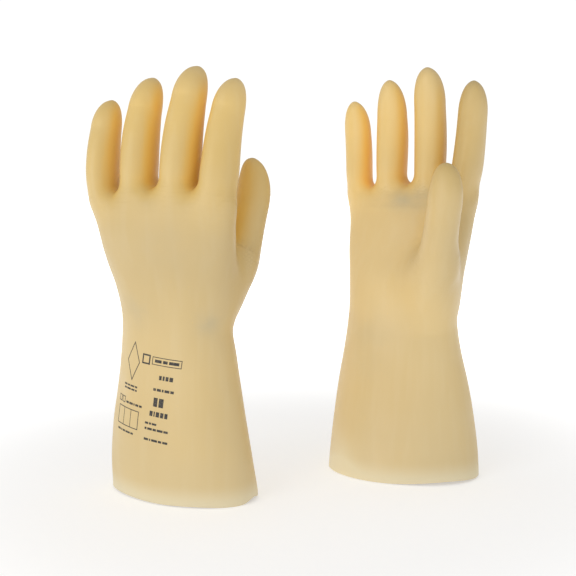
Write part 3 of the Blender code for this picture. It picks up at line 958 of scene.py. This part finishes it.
def wrap_print(glove, flat):
    """Lays flat points round the back of the gauntlet, onto the skin."""
    sine, cosine = sin_cos(PRINT_TILT)
    x, y = flat[:, 0], flat[:, 1] - PRINT_PIVOT_U
    across = x * cosine - y * sine
    height = PRINT_PIVOT_U + x * sine + y * cosine
    centre_r, centre_p, width, depth, twist, _ = glove.row(height)
    # Arc length is counted from the middle of the back, positive to the thumb side.
    angles = np.linspace(-math.pi * 1.15, math.pi * 0.15, 700)
    points = np.empty((len(height), 3))
    for k in range(len(height)):
        run = np.hypot(np.diff(width[k] * np.cos(angles)), np.diff(depth[k] * np.sin(angles)))
        arc = np.concatenate([[0.0], np.cumsum(run)])
        arc -= np.interp(-math.pi / 2, angles, arc)
        angle = np.interp(across[k], arc, angles)
        sine, cosine = sin_cos(twist[k])
        x, y = width[k] * math.cos(angle), depth[k] * math.sin(angle)
        points[k] = (centre_r[k] + x * cosine - y * sine,
                     centre_p[k] + x * sine + y * cosine, height[k])
    for _ in range(4):
        slope = glove.gradient(points)
        points = points - slope * (glove.distance(points) / (slope**2).sum(1))[:, None]
    return points


def print_piece(glove, place):
    """The print as thin patches bedded in the skin of the back of the gauntlet."""
    flat, patches = print_grid()
    points = wrap_print(glove, flat)
    normals = unit(glove.gradient(points))
    top = glove.lift(points + normals * PRINT_PROUD)
    bottom = glove.lift(points - normals * PRINT_BEDDED)
    under = len(points)                # number of the first bottom point
    faces = []
    for cells, ring in patches:
        faces += [list(cell) for cell in cells]
        faces += [[i + under for i in reversed(cell)] for cell in cells]
        faces += [[end, start, start + under, end + under]
                  for start, end in zip(ring, ring[1:] + ring[:1])]
    mesh = bpy.data.meshes.new("left_print")
    placed = place.points(np.vstack([top, bottom]))
    mesh.from_pydata([tuple(point) for point in placed], [], faces)
    # Outward faces: the first patch decides, since all are made alike.
    mesh.update()
    face = mesh.polygons[0]
    if np.dot(np.array(face.normal), place.directions(normals[face.vertices[0]])) < 0:
        mesh.flip_normals()
    obj = add_object("left_print", mesh)
    mesh.materials.append(ink_material())
    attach(obj, "left_cuff")


# ---------------------------------------------------------------- skin colour and painted light

# How far along its normal the skin looks for other skin, and each look's weight; skin that faces
# other skin gets painted amber shade.
LOOKS = ((3.0, 0.7), (7.0, 0.9), (13.0, 1.0), (21.0, 0.9), (32.0, 0.7))
# Grey patches of painted shade: strength, centre, size. On the left they lie over the back of the
# hand and in the fold by the wrist on the thumb side; on the right, in the palm's hollow under the
# ring and middle fingers.
GREY_SHADE_PATCHES = {
    "left": ((0.4, (-18.0, -50.0, 160.0), (22.0, 16.0, 14.0)),
             (0.25, (20.0, -52.0, 215.0), (24.0, 18.0, 26.0)),
             (0.65, (40.0, -33.0, 152.0), (12.0, 13.0, 9.0))),
    "right": ((0.95, (4.0, -16.0, 248.0), (22.0, 15.0, 11.0)),
              (0.25, (-20.0, 20.0, 120.0), (24.0, 22.0, 30.0))),
}
# Spots: more amber near the left thumb, and painted glow low on the right cuff: centre, size.
LEFT_AMBER_SPOT = ((36.0, 20.0, 238.0), (15.0, 16.0, 42.0))
RIGHT_GLOW_SPOT = ((-52.0, 24.0, 10.0), (20.0, 26.0, 22.0))


def tones(glove, points, normals):
    """Slow colour: painted amber shade where skin faces itself, amber up the fingers, painted rim
    glow, grey painted shade, painted light.
    """
    height = points[:, 2]
    closed = np.zeros(len(points))
    for reach, weight in LOOKS:
        room = glove.distance(points + normals * reach)
        closed += weight * np.clip(1.0 - room / reach, 0.0, 1.0)
    closed /= sum(weight for _, weight in LOOKS)
    fingers = smoothstep(height, 205.0, 300.0)
    tips = smoothstep(height, 318.0, 362.0)
    # Painted shade: amber where the skin faces other skin; amber also rises up the fingers and
    # eases off at the tips.
    amber = np.clip(0.90 * closed + 0.42 * fingers - 0.22 * tips, 0.0, 1.0)
    # Painted glow: paler towards the rim, most within 20 mm of it.
    rim_glow = 0.85 * (1.0 - smoothstep(height, 0.0, 20.0))
    rim_glow += 0.22 * (1.0 - smoothstep(height, 0.0, 90.0))
    # Painted shade: grey patches in hollows and folds.
    grey = sum(strength * blob(points, centre, size)
               for strength, centre, size in GREY_SHADE_PATCHES[glove.hand])
    # The gloves differ. Painted light and shade: the left is darker from the wrist up and lighter
    # again towards the fingertips; the right is lighter to its little-finger side and darker to its
    # thumb side. The left also has more amber near its thumb, and the right weaker amber.
    if glove.hand == "left":
        spot = blob(points, *LEFT_AMBER_SPOT)
        amber = np.clip(amber + 0.55 * spot, 0.0, 1.0)
        painted_light = 0.985 - 0.17 * smoothstep(height, 110.0, 200.0) + 0.09 * spot
        painted_light += 0.05 * smoothstep(height, 230.0, 290.0) + 0.13 * smoothstep(height, 290.0, 345.0)
    else:
        amber = amber * 0.78
        # A spot of painted glow low on the little-finger side of the right cuff.
        rim_glow += 0.75 * blob(points, *RIGHT_GLOW_SPOT)
        palm = smoothstep(height, 120.0, 190.0)
        fingers = smoothstep(height, 235.0, 290.0)
        across = np.clip(points[:, 0] / 60.0, -1.1, 1.1)
        painted_light = 1.02 + 0.06 * palm - 0.09 * fingers
        painted_light -= (0.04 + 0.18 * palm - 0.06 * fingers) * across
        painted_light += 0.14 * smoothstep(-across, 0.35, 1.0) * (1.0 - palm)
        painted_light -= 0.09 * smoothstep(across, 0.45, 0.85) * palm
    return {"skin_amber": amber, "skin_pale": np.clip(rim_glow, 0, 1),
            "skin_grey": grey, "skin_tone": painted_light}


# ---------------------------------------------------------------- building a glove

def skin_pieces(glove, place, material):
    """The pieces of skin, by name."""
    hand = glove.hand
    points, polygons, names = divide(glove, *skin_mesh(glove))
    normals = glove.gradient(points)
    normals[points[:, 2] < 0.01, 2] = 0.0
    normals = unit(normals)
    attributes = tones(glove, points, normals)
    outer, inner = glove.lift(points), glove.lift(points - normals * WALL)
    pieces = {}
    for name in sorted(set(names)):
        chosen = [polygon for polygon, owner in zip(polygons, names) if owner == name]
        obj = shell_piece(f"{hand}_{name}_skin", outer, inner, normals, chosen, attributes,
                          place, flip=hand == "right")
        obj.data.materials.append(material)
        pieces[name] = obj
        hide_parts(f"{hand}_{name}")
    return pieces


def build(hand, material):
    glove = Glove(hand)
    place = Placement(hand)
    pieces = skin_pieces(glove, place, material)

    def at(point):
        return tuple(place.points(np.array([point], float))[0])

    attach(pieces["cuff"], f"{hand}_cuff")
    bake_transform(pieces["hand"])
    for stall in glove.stalls:
        for k, word in enumerate(stall.words):
            is_tip = word == "tip"
            reach = stall.length[k] * (TIP_BEND_SHARE if is_tip else CUT_SHARE)
            if k > 0:
                reach = min(reach, stall.length[k - 1] * (1 - CUT_SHARE) + EXTRA_BEND)
            name = f"{stall.name}_{word}"
            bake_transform(pieces[name])
    if hand == "left":
        print_piece(glove, place)


# ---------------------------------------------------------------- stage

FLOOR_HALF = 6.0
FLOOR_DROP = 0.0004


def floor_material():
    """White floor with a painted glow: its own light rises away from the gloves, so no horizon
    shows behind them.
    """
    paper = Surface("floor_white")
    length = paper.node("ShaderNodeVectorMath", {0: paper.where}, operation="LENGTH")
    paper.shade({
        "Base Color": (0.80, 0.80, 0.80, 1.0),
        "Roughness": 0.9,
        "Specular IOR Level": 0.0,
        "Emission Color": (1.0, 1.0, 1.0, 1.0),
        "Emission Strength": paper.spread(length.outputs["Value"], low=0.20, high=0.75,
                                          to_low=0.42, to_high=1.0),
    })
    return paper.material


def add_floor():
    mesh = bpy.data.meshes.new("floor")
    corners = [(x * FLOOR_HALF, y * FLOOR_HALF, 0) for x, y in ((-1, -1), (1, -1), (1, 1), (-1, 1))]
    mesh.from_pydata(corners, [], [(0, 1, 2, 3)])
    floor = add_object("floor", mesh)
    floor.location = (0.0, 0.0, -FLOOR_DROP)
    mesh.materials.append(floor_material())


def add_world():
    world = bpy.data.worlds.new("studio")
    bpy.context.scene.world = world
    world.use_nodes = True
    nodes = Nodes(world.node_tree)
    path = nodes.node("ShaderNodeLightPath")
    room_light, seen_by_camera = 0.57, 1.05
    strength = nodes.node("ShaderNodeMix", {0: path.outputs["Is Camera Ray"],
                                            2: room_light, 3: seen_by_camera}, data_type="FLOAT")
    nodes.feed(world.node_tree.nodes["Background"],
               {"Strength": strength.outputs[0], "Color": (1.0, 1.0, 1.0, 1.0)})


def aim(obj, location, target):
    obj.location = location
    obj.rotation_euler = (Vector(target) - obj.location).to_track_quat("-Z", "Y").to_euler()


def add_softbox(name, location, power):
    light = bpy.data.lights.new(name, "AREA")
    light.shape = "RECTANGLE"
    light.size = light.size_y = 2.0
    light.energy = power
    aim(add_object(name, light), location, target=(0.0, 0.0, 0.18))


def add_camera():
    camera = bpy.data.cameras.new("camera")
    camera.lens = 66.0
    camera.sensor_width = 36.0
    camera.clip_start = 0.01
    obj = add_object("camera", camera)
    middle = Vector((-0.0056, -0.0050, 0.172))
    aim(obj, middle + Vector((0.0, -0.910, 0.118)), middle)
    bpy.context.scene.camera = obj


def stage():
    add_floor()
    add_world()
    add_softbox("key", location=(-1.9, -2.4, 0.9), power=23.0)
    add_softbox("fill", location=(1.8, -1.8, 0.6), power=0.8)
    add_camera()
    bpy.context.scene.view_settings.view_transform = "Standard"
    bpy.context.scene.view_settings.look = "None"


latex = latex_material()
for glove_hand in ("left", "right"):
    build(glove_hand, latex)
stage()
